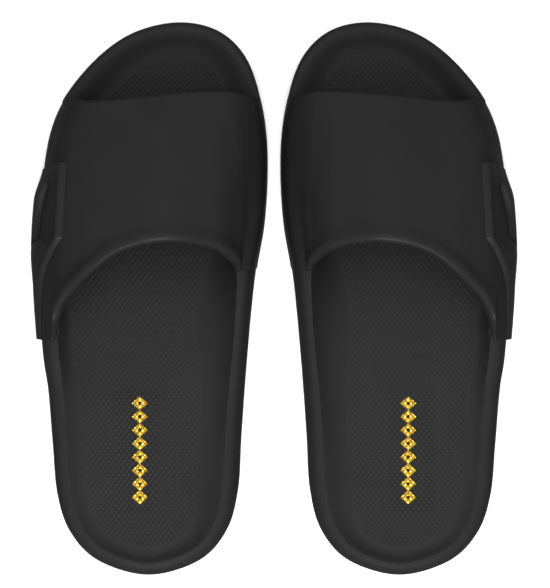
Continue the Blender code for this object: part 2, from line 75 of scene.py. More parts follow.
# Heights along the length, as (y, height).
TOE_SPRING_FROM, TOE_SPRING = 45.0, 8.0
HEEL_LIFT_FROM, HEEL_LIFT = -115.0, 2.5
RIM_INNER_SIDE = (
    (-142.5, 31.5), (-100, 33), (-60, 35), (-20, 39), (14, 43.5),
    (50, 37), (80, 32), (106, 28), (142.5, 27.5),
)
RIM_OUTER_SIDE = (
    (-142.5, 31), (-105, 29.5), (-75, 29.5), (-50, 31), (-25, 37), (-6, 39),
    (30, 36.5), (70, 32), (104, 28), (142.5, 27.5),
)
FOOTBED_HEIGHT = (
    (-142.5, 29), (-120, 27.5), (-95, 26.5), (-50, 26.5), (-10, 25),
    (40, 21.5), (80, 20), (104, 20.5), (142.5, 24),
)
SLOPE_INNER_SIDE = (
    (-142.5, 12.5), (-100, 21), (-60, 21), (-40, 23), (-16, 27),
    (10, 25), (60, 17), (100, 16), (142.5, 16),
)
SLOPE_OUTER_SIDE = ((-142.5, 12.5), (-100, 15), (-40, 16), (0, 17), (60, 15), (100, 16), (142.5, 16))
OUTSOLE_THICKNESS = 5.0

# The midsole's wall, as (inset, share of the height from its foot to the crest). The rim grows narrower
# towards the toe, where its insets shrink.
WALL = (
    (1.2, 0.0), (0.35, 0.1), (0.0, 0.28), (0.15, 0.48),
    (0.8, 0.69), (2.1, 0.87), (4.0, 0.965), (6.6, 1.0),
)
WALL_RINGS = 40
RIM_NARROWING = ((-142.5, 1.0), (70, 1.0), (104, 0.6), (142.5, 0.5))
WALL_CLEARANCE = 0.1  # between the wall's foot and the outsole

# The slope from the rim down to the footbed. Where its skew is low, it is steepest beside the rim.
SLOPE_RINGS = 26
SKEW_INNER_SIDE = (
    (-142.5, 0.75), (-100, 0.65), (-20, 0.5), (60, 0.6), (104, 1.1), (125, 1.1), (142.5, 0.8),
)
SKEW_OUTER_SIDE = ((-142.5, 0.75), (60, 0.75), (104, 1.1), (125, 1.1), (142.5, 0.8))
# A shallow valley runs between the rim and the footbed, whose border is a low lip, as (y, height).
VALLEY_INNER_SIDE = ((-142.5, 0.2), (-110, 0.1), (-60, 0.0), (104, 0.0), (125, 0.1), (142.5, 0.4))
VALLEY_OUTER_SIDE = ((-142.5, 0.2), (-110, 0.1), (-40, 0.0), (104, 0.0), (125, 0.1), (142.5, 0.4))
LIP_HEIGHT = ((-142.5, 0.15), (-110, 0.1), (-80, 0.0), (70, 0.0), (104, 0.2), (120, 0.5), (142.5, 0.5))
LIP_WIDTH = 4.0
TUCK = 1.6  # how far the slope runs on under the footbed's edge
TUCK_STEPS = ((0.1, 0.2), (TUCK, 0.5))  # its last rings there, as (further inset, depth)

# The footbed's raised beads lie in a staggered lattice, sampled finely enough to round each one.
BEAD_WIDTH, BEAD_LENGTH, BEAD_LENGTH_AT_TOE = 2.7, 3.5, 2.8
BEAD_LENGTH_CHANGE = (40.0, 75.0)  # y range over which the beads shorten
BEAD_SAMPLES = 6
BED_END_GAP = 0.03  # the footbed's rows stop this short of its tips
BED_CLEARANCE = 0.2  # between the footbed's underside and the outsole
BEAD_HEIGHT = ((-142.5, 0.6), (-60, 0.5), (-10, 0.32), (60, 0.32), (110, 0.4), (142.5, 0.4))
BEAD_HEIGHT_AT_EMBLEM = 0.9
BEAD_BORDER = (0.5, 3.0)  # distances from the edge over which the beads grow to full height
EMBLEM_FIELD = (60.1, 81.6, -111.2, -48.2)  # u and y ranges of the taller beads round the emblem
EMBLEM_FIELD_EDGE = (-1.0, 0.5)  # they rise over this range across the field's border
BED_MARKS = (  # moulding marks, as (u, y, half width, half length, depth)
    (75.4, -27.6, 4.5, 3.0, 0.3),
    (98.6, -50.3, 0.7, 0.7, 0.5),
)

# The heel emblem's chain of diamonds.
EMBLEM_DIAMONDS = 8
EMBLEM_HOLE = 0.3  # size of each diamond's hole, as a share of the diamond
EMBLEM_OVERLAP = 0.15
EMBLEM_STEPS = 12
EMBLEM_RINGS = 7
EMBLEM_RISE, EMBLEM_ROOT = 0.08, 0.3

# The strap's middle surface, row by row from the bottom of the inner skirt over the crown to the bottom
# of the outer skirt. Each row has its front end and its rear end, as (u, y, height above the underside).
# The rear edge leaves the rim's crest on the inner side at row 5 and comes back down to it at row 14.
STRAP_ROWS = (
    ((7.9, 103.0, 5.7), (10.0, 16.0, 5.7)),
    ((7.9, 103.1, 14.0), (10.0, 16.0, 18.0)),
    ((8.6, 103.4, 21.0), (10.8, 15.9, 31.0)),
    ((10.2, 103.8, 27.0), (12.4, 15.7, 38.2)),
    ((13.0, 104.0, 32.0), (15.4, 15.4, 41.6)),
    ((18.0, 104.1, 37.5), (18.4, 15.6, 43.6)),
    ((25.5, 104.1, 43.0), (21.0, 21.2, 47.8)),
    ((37.0, 103.5, 48.2), (32.4, 28.9, 60.4)),
    ((53.0, 102.2, 51.2), (54.0, 31.8, 70.0)),
    ((69.0, 100.6, 50.2), (75.0, 27.6, 67.0)),
    ((83.0, 99.3, 46.2), (90.5, 17.6, 59.3)),
    ((93.5, 98.9, 40.2), (101.2, 7.6, 50.0)),
    ((99.5, 99.8, 34.0), (107.4, 0.0, 43.6)),
    ((102.6, 101.5, 28.5), (110.8, -8.5, 38.6)),
    ((104.3, 103.0, 23.5), (112.4, -20.5, 36.9)),
    ((105.0, 103.8, 19.5), (115.0, -20.6, 34.4)),
    ((105.5, 104.3, 15.5), (117.4, -20.7, 29.6)),
    ((105.9, 104.6, 10.5), (118.9, -20.8, 20.6)),
    ((105.9, 104.6, 5.7), (118.7, -20.8, 5.7)),
)
STRAP_CROWN = 2.4
STRAP_RINGS = 240
STRAP_SPANS = 44
STRAP_REAR_ZONE, STRAP_REAR_SPANS = 14.0, 23  # the rear edge is sampled more finely
STRAP_ROW_STEP = 0.02  # step over which the strap's directions are measured
# The strap's thickness and edges, as (row, value). A roundness of 1 is a half circle.
STRAP_HALF_THICKNESS = ((0, 1.2), (4.0, 1.2), (6.6, 3.0), (11.5, 3.0), (15.5, 1.2), (18, 1.2))
STRAP_FRONT_SHARE = 0.8  # thickness of the front edge, as a share of the rest
STRAP_FRONT_TAPER = 0.25  # share of the strap's length over which it reaches full thickness
BEAD_ROLL, BEAD_ROLL_WIDTH = 1.4, 5.0  # the strap swells to a rolled bead along its free rear edge
BEAD_ROLL_ROWS = ((0, 0.0), (4.6, 0.0), (6.4, 1.0), (12.5, 1.0), (14.3, 0.0), (18, 0.0))
EDGE_ROUNDNESS = ((0, 0.3), (4.5, 0.3), (5.6, 1.0), (13.2, 1.0), (14.3, 0.3), (18, 0.3))
EDGE_STEPS = 12

# Between a rear and a front place the strap covers the sole's wall and rim, which are sunk a little there.
# On the outer side the rim's crest sinks further, because the strap's skirt lies low.
COVERED_INNER, COVERED_OUTER = (16.5, 102.0), (-20.5, 102.0)
COVERED_EASE = 2.0  # the length over which it begins and ends
COVERED_DEPTH = 1.2
RIM_DROP_OUTSIDE = 3.0
RIM_DROP_REAR, RIM_DROP_FRONT = (-17.0, -5.0), (85.0, 70.0)  # y ranges over which that begins
# The rim's crest leans in over the slope, furthest where the strap's rear edge runs into it.
LEAN_INNER_SIDE = (
    (-142.5, 0.0), (-110, 1.0), (-60, 1.5), (0, 1.6), (10, 2.5),
    (14, 3.5), (18, 4.4), (32, 0.0), (142.5, 0.0),
)
LEAN_OUTER_SIDE = (
    (-142.5, 0.0), (-110, 0.8), (-60, 1.3), (-20, 2.5), (0, 2.0), (20, 0.0), (142.5, 0.0),
)

# The wing's upper edge as (share of its length, y, u) and its lower edge as (share, y, strap row).
WING_TOP = (
    (0.0, 70.0, 105.3), (0.42, 31.0, 107.4), (0.48, 25.0, 111.6), (0.57, 16.4, 116.0),
    (0.65, 8.0, 118.2), (0.76, -1.0, 119.0), (0.86, -9.5, 119.3), (1.0, -21.2, 119.3),
)
WING_BOTTOM = ((0.0, 66.5, 17.9), (0.42, 31.5, 17.9), (1.0, -21.2, 17.9))
WING_ROWS = np.linspace(9.0, 17.4, 120)  # the strap rows that the wing's upper edge crosses
WING_REAR = (0.5, 0.7)  # shares between which the wing grows thinner towards the rear

# The wing's upper edge stands out as a ledge that faces up. Its rear part stands out less.
LEDGE_LIFT, LEDGE_LIFT_AT_REAR = 3.0, 2.25
LEDGE_WIDTH = 3.8
# Under the ledge's front half is a sunken window, and below that the wing is a plate that stands out.
WINDOW_ALONG = (0.08, 0.5)
WINDOW_ENDS = (0.03, 0.1)  # shares over which the window's front and rear ends fade out
WINDOW_LIFT = 0.6
WINDOW_FROM = (LEDGE_WIDTH + 0.6, LEDGE_WIDTH + 2.0)  # the ledge falls into the window between these
WINDOW_FOOT = (  # the window's lower edge, as (share, distance from the upper edge)
    (0.0, 17.0), (0.12, 20.0), (0.2, 24.0), (0.29, 28.0), (0.5, 30.0),
)
WINDOW_FOOT_HALF = 1.1  # half the width of the rise from the window to the plate
PLATE_LIFT, PLATE_LIFT_AT_REAR = 4.0, 3.2
PLATE_FRONT_SHARE, PLATE_GROWS_OVER = 0.3, 0.2  # at its front end the plate is lower
PLATE_FROM = (4.0, 14.0)  # beside the window the plate rises between these distances
WING_ROOT = 0.5  # depth of the wing's border in the strap
WING_BACK = -1.0  # the wing's hidden face lies this far under the strap's surface
WING_BORDERS = (0.012, 0.008, 0.8, 0.8)  # widths of the rounding at the front, rear, top and bottom
# Places of its vertices along and across it, as shares: finer at the ends and across the ledge.
WING_ALONG = np.concatenate([
    np.linspace(0, 0.02, 8, endpoint=False), np.linspace(0.02, 0.98, 180), (0.985, 0.99, 0.995, 1)
])
WING_ACROSS = np.concatenate([np.linspace(0, 0.2, 44, endpoint=False), np.linspace(0.2, 1, 76)])

# The tread's grooves run across the sole in a shallow V.
GROOVE_PITCH, GROOVE_WIDTH, GROOVE_DEPTH = 16.0, 3.0, 2.0
GROOVE_RISE = 7.0
GROOVE_FIRST, GROOVE_COUNT = -124.0, 16
GROOVE_REACH = 90.0  # how far each cutting bar reaches to either side
GROOVE_BELOW = 10.0  # how far it reaches down
GROOVE_TAPER = 0.4  # how far each side of a groove leans in

# The outsole's edge, as (inset, height over the underside).
OUTSOLE_EDGE = ((2.6, 0.0), (1.1, 0.35), (0.3, 1.2), (0.0, 2.2), (0.0, 4.0), (0.4, 4.7), (1.4, 5.0))
OUTSOLE_FLAT_RINGS = (3.0, 11.0)  # insets of the rings on its flat faces, beyond the footbed's edge

# Foam, in features per metre and metres. Its tone and roughness vary a little round their middle values.
NOISE_RANGE = (0.3, 0.7)  # where nearly all of a noise's values lie
CLOUD_SCALE, CLOUD_CONTRAST = 35, 0.06
PATCH_SCALE, PATCH_CONTRAST = 90, 0.02
FINE_GRAIN_SCALE, FINE_GRAIN_DEPTH = 2200, 0.0001
COARSE_GRAIN_SCALE, COARSE_GRAIN_DEPTH = 260, 0.0003
BLUE_TINT = 0.01  # the lighter patches are this much bluer

# Foil, likewise. Between two noise values its gold turns from deep to bright, or from worn to whole.
GOLD, DEEP_GOLD, WORN_GOLD = (0.62, 0.38, 0.045), (0.34, 0.2, 0.02), (0.05, 0.035, 0.012)
FOIL_TONE_SCALE, FOIL_DEEP, FOIL_BRIGHT = 700, 0.35, 0.6
FOIL_SPECK_SCALE, FOIL_WORN, FOIL_WHOLE = 1500, 0.34, 0.42
FOIL_SHEEN_SCALE, FOIL_SMOOTHEST, FOIL_ROUGHEST = 900, 0.24, 0.5
FOIL_CREASE_SCALE, FOIL_CREASE_DEPTH, FOIL_CREASE = 1300, 0.0003, 0.6

# Studio, in metres and watts. Lights are (name, place, target, size, power, seen in reflections).
FLOOR_HALF_SIZE, FLOOR_HEIGHT = 6.0, -0.0002
LIGHTS = (
    ("key", (0, -0.15, 1.3), (0, 0, 0), 0.8, 5, True),
    ("rear", (0, -1.1, 1.0), (0, 0, 0), 0.5, 26, True),
    ("front", (0, 0.5, 1.1), (0, 0.1, 0), 0.6, 6, False),
)
HORIZON_BLUR = 0.05  # half the share of the dome's height over which its light fades at the horizon
CAMERA_PLACE = (0.0005, 0.0024, 2.545)
CAMERA_LENS, CAMERA_SENSOR, CAMERA_REACH = 300, 36, 50


# Curves


def curve_through(knots, at):
    """A smooth curve through rows of numbers whose first column rises: its other columns at each place.
    The curve's tangents are the central differences of its knots."""
    knots = np.array(knots, float)
    x, values = knots[:, 0], knots[:, 1:]
    slopes = np.gradient(values, x, axis=0)
    at = np.clip(np.atleast_1d(at).astype(float), x[0], x[-1])
    span = np.clip(np.searchsorted(x, at, side="right") - 1, 0, len(x) - 2)
    width = (x[span + 1] - x[span])[:, None]
    f = ((at - x[span]) / width[:, 0])[:, None]
    return (
        (2 * f**3 - 3 * f**2 + 1) * values[span]
        + (f**3 - 2 * f**2 + f) * width * slopes[span]
        + (3 * f**2 - 2 * f**3) * values[span + 1]
        + (f**3 - f**2) * width * slopes[span + 1]
    )


def height_on(knots, y):
    """Heights or widths on the curve through knots (y, value)."""
    y = np.asarray(y, float)
    return curve_through(knots, y.ravel())[:, 0].reshape(y.shape)


def smooth_step(low, high, value):
    """Eases from 0 at low to 1 at high, which may be the smaller of the two."""
    f = np.clip((value - low) / (high - low), 0, 1)
    return f * f * (3 - 2 * f)


def eased(knots, at):
    """Values that hold still at each knot (place, value) and ease from one to the next."""
    x, values = np.array(knots, float).T
    span = np.clip(np.searchsorted(x, at, side="right") - 1, 0, len(x) - 2)
    return values[span] + (values[span + 1] - values[span]) * smooth_step(x[span], x[span + 1], at)


def underside(y):
    """Height of the sole's underside: flat from the heel to the ball, then rising to the toe."""
    toe = np.clip((y - TOE_SPRING_FROM) / (TOE_TIP_Y - TOE_SPRING_FROM), 0, 1)
    heel = np.clip((HEEL_LIFT_FROM - y) / (HEEL_LIFT_FROM - HEEL_TIP_Y), 0, 1)
    return TOE_SPRING * toe**2 + HEEL_LIFT * heel**2


def closed_outline():
    """Points at even distances round a smooth closed curve through OUTLINE."""
    corners = np.array(OUTLINE)
    before, after = np.roll(corners, 1, axis=0), np.roll(corners, -1, axis=0)
    beyond = np.roll(corners, -2, axis=0)
    spans = []
    for f in np.arange(OUTLINE_STEPS) / OUTLINE_STEPS:
        bend = (2 * before - 5 * corners + 4 * after - beyond) * f**2
        bend += (3 * corners - before - 3 * after + beyond) * f**3
        spans.append(corners + 0.5 * ((after - before) * f + bend))
    curve = np.stack(spans, axis=1).reshape(-1, 2)
    closed = np.vstack([curve, curve[:1]])
    along = np.concatenate([[0], np.cumsum(np.linalg.norm(np.diff(closed, axis=0), axis=1))])
    at = np.linspace(0, along[-1], OUTLINE_POINTS, endpoint=False)
    return np.stack([np.interp(at, along, closed[:, k]) for k in (0, 1)], axis=1)


def two_sides(curve):
    """The outer and the inner side of a closed curve that runs clockwise, each with rising y."""
    top, bottom = int(curve[:, 1].argmax()), int(curve[:, 1].argmin())
    count = len(curve)
    outer = np.roll(curve, -top, axis=0)[: (bottom - top) % count + 1][::-1]
    inner = np.roll(curve, -bottom, axis=0)[: (top - bottom) % count + 1]
    return outer, inner


EDGE = closed_outline()
OUTER_SIDE, INNER_SIDE = two_sides(EDGE)


def outer_u(y):
    """The outline's outer side at each y."""
    return np.interp(y, OUTER_SIDE[:, 1], OUTER_SIDE[:, 0])


def inner_u(y):
    """The outline's inner side at each y."""
    return np.interp(y, INNER_SIDE[:, 1], INNER_SIDE[:, 0])


def inward_normals(curve):
    """Unit normals of a closed curve that runs clockwise, pointing inwards."""
    along = np.roll(curve, -2, axis=0) - np.roll(curve, 2, axis=0)
    along /= np.linalg.norm(along, axis=1)[:, None]
    return np.column_stack([along[:, 1], -along[:, 0]])


INWARD = inward_normals(EDGE)
# From 0 on the inner side to 1 on the outer side, turning over round the toe and the heel.
OUTERNESS = np.clip(0.5 - 0.9 * INWARD[:, 0], 0, 1)


def inset(distance):
    """The outline drawn in by a distance, which may differ from point to point."""
    return EDGE + INWARD * np.broadcast_to(distance, len(EDGE))[:, None]


def by_side(inner_knots, outer_knots):
    """A height or width round the outline, mixed from its inner and outer sides."""
    y = EDGE[:, 1]
    return height_on(inner_knots, y) * (1 - OUTERNESS) + height_on(outer_knots, y) * OUTERNESS


def covered_by_strap(y):
    """How far the sole lies under the strap at each point of the outline, from 0 to 1."""
    inner, outer = [
        smooth_step(rear, rear + COVERED_EASE, y) * smooth_step(front, front - COVERED_EASE, y)
        for rear, front in (COVERED_INNER, COVERED_OUTER)
    ]
    return inner * (1 - OUTERNESS) + outer * OUTERNESS


SLOPE_WIDTH = by_side(SLOPE_INNER_SIDE, SLOPE_OUTER_SIDE)
VALLEY = by_side(VALLEY_INNER_SIDE, VALLEY_OUTER_SIDE)
SKEW = by_side(SKEW_INNER_SIDE, SKEW_OUTER_SIDE)
SUNK = COVERED_DEPTH * covered_by_strap(EDGE[:, 1])
RIM_HEIGHT = by_side(RIM_INNER_SIDE, RIM_OUTER_SIDE) - SUNK
RIM_DROP = smooth_step(*RIM_DROP_REAR, EDGE[:, 1]) * smooth_step(*RIM_DROP_FRONT, EDGE[:, 1])
RIM_HEIGHT -= RIM_DROP_OUTSIDE * OUTERNESS * RIM_DROP
LEAN = by_side(LEAN_INNER_SIDE, LEAN_OUTER_SIDE)
NARROWING = eased(RIM_NARROWING, EDGE[:, 1])
BED_EDGE = inset(SLOPE_WIDTH)
BED_ENDS = (BED_EDGE[:, 1].min() + BED_END_GAP, BED_EDGE[:, 1].max() - BED_END_GAP)


# Meshes


def grid_faces(rows, columns, close_rows=False, close_columns=False):
    """Quads of a grid of vertices numbered row by row."""
    r = np.arange(rows if close_rows else rows - 1)
    c = np.arange(columns if close_columns else columns - 1)
    r, c = np.meshgrid(r, c, indexing="ij")
    r2, c2 = (r + 1) % rows, (c + 1) % columns
    corners = (r * columns + c, r * columns + c2, r2 * columns + c2, r2 * columns + c)
    return np.stack([k.ravel() for k in corners], axis=1).tolist()


def volume(points, faces):
    """Signed volume of a closed mesh: negative where its faces point inwards."""
    fans = np.array([(face[0], b, c) for face in faces for b, c in zip(face[1:-1], face[2:])])
    a, b, c = points[fans[:, 0]], points[fans[:, 1]], points[fans[:, 2]]
    return float(np.einsum("ij,ij->", a, np.cross(b, c))) / 6


def make_piece(name, side, points, faces, finish, sharp=50):
    """A mesh object mirrored to its side, in metres, with its faces pointing out."""
    points = np.asarray(points, float) * (side * MM, MM, MM)
    if volume(points, faces) < 0:
        faces = [face[::-1] for face in faces]
    mesh = bpy.data.meshes.new(name)
    mesh.from_pydata(points.tolist(), [], faces)
    mesh.update()
    mesh.shade_smooth()
    mesh.set_sharp_from_angle(angle=math.radians(sharp))
    mesh.materials.append(finish)
    obj = bpy.data.objects.new(name, mesh)
    bpy.context.scene.collection.objects.link(obj)
    return obj


def ring(points, height):
    """Points in plan raised to a height, which may differ from point to point."""
    return np.column_stack([points, np.broadcast_to(height, len(points))])


# Midsole


def midsole(name, side, finish):
    """The foam cup: its wall, rolled rim and inner slope as one closed ring round the footbed."""
    foot = underside(EDGE[:, 1]) + OUTSOLE_THICKNESS + WALL_CLEARANCE
    rings = []
    wall = np.column_stack([np.arange(len(WALL)), WALL])
    for drawn_in, share in curve_through(wall, np.linspace(0, len(WALL) - 1, WALL_RINGS)):
        start = drawn_in * NARROWING + SUNK + LEAN * drawn_in / WALL[-1][0]
        rings.append(ring(inset(start), foot + (RIM_HEIGHT - foot) * share))
    top = rings[-1][:, 2]
    bed = height_on(FOOTBED_HEIGHT, BED_EDGE[:, 1]) + height_on(LIP_HEIGHT, BED_EDGE[:, 1])
    for share in np.linspace(0, 1, SLOPE_RINGS + 1)[1:]:
        fall = 0.5 + 0.5 * np.cos(math.pi * share**SKEW)
        dip = VALLEY * math.sin(math.pi * share) ** 2
        rings.append(ring(inset(start + (SLOPE_WIDTH - start) * share), bed + (top - bed) * fall - dip))
    for further, depth in TUCK_STEPS:
        rings.append(ring(inset(SLOPE_WIDTH + further), bed - depth))
    rings.append(ring(inset(SLOPE_WIDTH + TUCK), foot))
    faces = grid_faces(len(rings), len(EDGE), close_rows=True, close_columns=True)
    return make_piece(name, side, np.vstack(rings), faces, finish)


# Footbed


def clamped_slab(rows, low, high, columns, fine, coarse):
    """A closed slab. Its fine face is a grid of fixed columns, cut off at the low and high end of each row,
    and its coarse face has only those ends. fine and coarse turn (column place, row place) into points.
    Columns closer to a row's end than a small margin are left out of that row."""
    margin = 0.15 * (columns[1] - columns[0])
    places, index = [], np.zeros((len(rows), len(columns)), int)
    for j, (row, a, b) in enumerate(zip(rows, low, high)):
        first = len(places)
        within = columns[(columns > a + margin) & (columns < b - margin)]
        places += [(a, row)] + [(u, row) for u in within] + [(b, row)]
        order = np.searchsorted(within, columns, side="right")
        order[columns >= b - margin] = len(within) + 1
        order[columns <= a + margin] = 0
        index[j] = first + order
    places = np.array(places)
    faces = []
    for lower, upper in zip(index, index[1:]):
        for a, b, c, d in zip(lower, lower[1:], upper[1:], upper):
            corners = list(dict.fromkeys((int(a), int(b), int(c), int(d))))
            if len(corners) > 2:
                faces.append(corners)
    ends = np.column_stack([np.concatenate([low, high]), np.tile(rows, 2)])
    first_end, count = len(places), len(rows)
    for j in range(count - 1):
        a, b = int(index[j, 0]), int(index[j + 1, 0])
        c, d = int(index[j, -1]), int(index[j + 1, -1])
        under_a, under_b = first_end + j, first_end + j + 1
        under_c, under_d = under_a + count, under_b + count
        faces += [[a, b, under_b, under_a], [d, c, under_c, under_d]]
        faces.append([under_a, under_b, under_d, under_c])
    for j, turned in ((0, 1), (count - 1, -1)):
        across = list(range(int(index[j, 0]), int(index[j, -1]) + 1))
        faces.append(([first_end + j] + across + [first_end + j + count])[::-turned])
    points = np.vstack([fine(places[:, 0], places[:, 1]), coarse(ends[:, 0], ends[:, 1])])
    return points, faces


def bead_rows(start, end):
    """Places along y at even steps of the beads' length, which shortens towards the toe."""
    rows = [start]
    while rows[-1] < end:
        shortened = float(smooth_step(*BEAD_LENGTH_CHANGE, rows[-1]))
        length = BEAD_LENGTH + (BEAD_LENGTH_AT_TOE - BEAD_LENGTH) * shortened
        rows.append(rows[-1] + length / BEAD_SAMPLES)
    return np.array(rows[:-1] + [end])


def distance_to(curve, u, y):
    """Distances from places (u, y) to the nearest point of a curve."""
    tree = KDTree(len(curve))
    for k, (a, b) in enumerate(curve):
        tree.insert((a, b, 0), k)
    tree.balance()
    return np.array([tree.find((a, b, 0))[2] for a, b in zip(u, y)])


def bed_surface(u, y, rows):
    """Heights of the beaded footbed. Beads follow one another over the sampled rows of y."""
    row_phase = np.interp(y, rows, np.arange(len(rows))) * (2 * math.pi / BEAD_SAMPLES)
    lattice = np.cos(u * (2 * math.pi / BEAD_WIDTH)) * np.cos(row_phase)
    low_u, high_u, low_y, high_y = EMBLEM_FIELD
    near_u = smooth_step(*EMBLEM_FIELD_EDGE, u - low_u) * smooth_step(*EMBLEM_FIELD_EDGE, high_u - u)
    near_y = smooth_step(*EMBLEM_FIELD_EDGE, y - low_y) * smooth_step(*EMBLEM_FIELD_EDGE, high_y - y)
    tall = height_on(BEAD_HEIGHT, y)
    tall += (BEAD_HEIGHT_AT_EMBLEM - tall) * near_u * near_y
    from_edge = distance_to(BED_EDGE, u, y)
    tall *= smooth_step(*BEAD_BORDER, from_edge)
    lip = height_on(LIP_HEIGHT, y) * np.exp(-((from_edge / LIP_WIDTH) ** 2))
    pits = 0.0
    for at_u, at_y, half_width, half_length, depth in BED_MARKS:
        pits += depth * np.exp(-(((u - at_u) / half_width) ** 2) - ((y - at_y) / half_length) ** 2)
    return height_on(FOOTBED_HEIGHT, y) + lip + tall * (0.5 + 0.5 * lattice) - pits


def footbed(name, side, finish):
    """The beaded field inside the rim, down to the outsole."""
    outer, inner = two_sides(BED_EDGE)
    rows = bead_rows(*BED_ENDS)
    low = np.interp(rows, inner[:, 1], inner[:, 0])
    high = np.interp(rows, outer[:, 1], outer[:, 0])
    step = BEAD_WIDTH / BEAD_SAMPLES
    columns = np.arange(math.floor(low.min() / step), math.ceil(high.max() / step) + 1) * step

    def top(u, y):
        return np.column_stack([u, y, bed_surface(u, y, rows)])

    def bottom(u, y):
        return np.column_stack([u, y, underside(y) + OUTSOLE_THICKNESS + BED_CLEARANCE])

    points, faces = clamped_slab(rows, low, high, columns, top, bottom)
    return make_piece(name, side, points, faces, finish, sharp=80)


# Outsole


def outsole(name, side, finish):
    """The rubber sheet with a rounded edge, and chevron grooves cut from below."""
    flat = [SLOPE_WIDTH + TUCK + further for further in OUTSOLE_FLAT_RINGS]
    rings = [ring(inset(d), underside(inset(d)[:, 1])) for d in flat[::-1]]
    rings += [ring(inset(d), underside(EDGE[:, 1]) + z) for d, z in OUTSOLE_EDGE]
    rings += [ring(inset(d), underside(inset(d)[:, 1]) + OUTSOLE_THICKNESS) for d in flat]
    body = bmesh.new()
    loops = [[body.verts.new(p) for p in points] for points in rings]
    for a, b in zip(loops, loops[1:]):
        for i in range(len(a)):
            j = (i + 1) % len(a)
            body.faces.new((a[i], a[j], b[j], b[i]))
    close_with_rungs(body, loops[0], rings[0])
    close_with_rungs(body, loops[-1], rings[-1])
    points, faces = points_and_faces(body)
    obj = make_piece(name, side, points, faces, finish, sharp=30)
    cutter = make_piece(name + "_grooves", side, *points_and_faces(groove_bars()), finish)
    boolean = obj.modifiers.new("Grooves", "BOOLEAN")
    boolean.operation, boolean.solver, boolean.object = "DIFFERENCE", "EXACT", cutter
    apply_modifiers(obj)
    bpy.data.objects.remove(cutter)
    return obj


def close_with_rungs(body, loop, points):
    """Closes a ring with strips across it, from the toe to the heel, so that it can bend lengthwise."""
    top, bottom = int(points[:, 1].argmax()), int(points[:, 1].argmin())
    count = len(loop)
    outer = [loop[(top + k) % count] for k in range((bottom - top) % count + 1)]
    inner = [loop[(top - k) % count] for k in range((top - bottom) % count + 1)]
    a = b = 0
    while a < len(outer) - 1 or b < len(inner) - 1:
        inner_done, outer_done = b == len(inner) - 1, a == len(outer) - 1
        if inner_done or (not outer_done and outer[a + 1].co.y >= inner[b + 1].co.y):
            corners = (outer[a], outer[a + 1], inner[b])
            a += 1
        else:
            corners = (outer[a], inner[b + 1], inner[b])
            b += 1
        if len(set(corners)) == 3:
            body.faces.new(corners)


def groove_bars():
    """Bars that cut the tread's grooves, each in two halves that meet in a shallow V."""
    body = bmesh.new()
    for k in range(GROOVE_COUNT):
        y = GROOVE_FIRST + GROOVE_PITCH * k
        middle = float(outer_u(y) + inner_u(y)) / 2
        sections = []
        for u, ahead in ((middle - GROOVE_REACH, 0.0), (middle, GROOVE_RISE), (middle + GROOVE_REACH, 0.0)):
            front, rear = y + ahead + GROOVE_WIDTH / 2, y + ahead - GROOVE_WIDTH / 2
            top = float(underside(y + ahead)) + GROOVE_DEPTH
            low = top - GROOVE_DEPTH - GROOVE_BELOW
            corners = ((rear, low), (front, low), (front - GROOVE_TAPER, top), (rear + GROOVE_TAPER, top))
            sections.append([body.verts.new((u, *corner)) for corner in corners])
        for a, b in zip(sections, sections[1:]):
            for i in range(len(a)):
                j = (i + 1) % len(a)
                body.faces.new((a[i], a[j], b[j], b[i]))
        body.faces.new(sections[0][::-1])
        body.faces.new(sections[-1])
    return body


def points_and_faces(body):
    """A bmesh's points and faces, turned to face out, after which the bmesh is freed."""
    bmesh.ops.recalc_face_normals(body, faces=body.faces[:])
    body.verts.index_update()
    points = np.array([v.co for v in body.verts])
    faces = [[v.index for v in face.verts] for face in body.faces]
    body.free()
    return points, faces


def apply_modifiers(obj):
    """Replaces an object's mesh with what its modifiers make of it."""
    evaluated = obj.evaluated_get(bpy.context.evaluated_depsgraph_get())
    mesh = bpy.data.meshes.new_from_object(evaluated)
    obj.modifiers.clear()
    obj.data = mesh


# Strap


def strap_ends(rows):
    """Front and rear ends of the strap's middle surface at each row. Their u is given as a share of the
    sole's width, followed by y and height."""
    table = np.array([np.concatenate(ends) for ends in STRAP_ROWS])
    for first in (0, 3):
        y = table[:, first + 1]
        table[:, first] = (table[:, first] - inner_u(y)) / (outer_u(y) - inner_u(y))
    both = curve_through(np.column_stack([np.arange(len(table)), table]), rows)
    return both[:, :3], both[:, 3:]


def strap_middle(rows, shares):
    """Points of the strap's middle surface at matching arrays of rows and shares from front to rear."""
    front, rear = strap_ends(rows)
    across, y, height = (front + (rear - front) * shares[:, None]).T
    over_the_top = np.sin(math.pi * rows / (len(STRAP_ROWS) - 1))
    height = height + STRAP_CROWN * np.sin(math.pi * np.clip(shares, 0, 1)) * over_the_top + underside(y)
    return np.column_stack([inner_u(y) + across * (outer_u(y) - inner_u(y)), y, height])


def unit(vectors):
    return vectors / np.linalg.norm(vectors, axis=1)[:, None]


def strap_frame(rows, shares):
    """Points, outward normals and rearward directions of the strap's middle surface."""
    step, last = STRAP_ROW_STEP, len(STRAP_ROWS) - 1
    rows, shares = np.asarray(rows, float), np.asarray(shares, float)
    across = strap_middle(np.minimum(rows + step, last), shares)
    across = across - strap_middle(np.maximum(rows - step, 0), shares)
    rearward = strap_middle(rows, shares + step) - strap_middle(rows, shares - step)
    return strap_middle(rows, shares), unit(np.cross(rearward, across)), unit(rearward)


def strap_half_thickness(rows, shares):
    """Half the strap's thickness, which tapers towards its front edge."""
    front = STRAP_FRONT_SHARE + (1 - STRAP_FRONT_SHARE) * np.clip(shares / STRAP_FRONT_TAPER, 0, 1)
    return eased(STRAP_HALF_THICKNESS, rows) * front


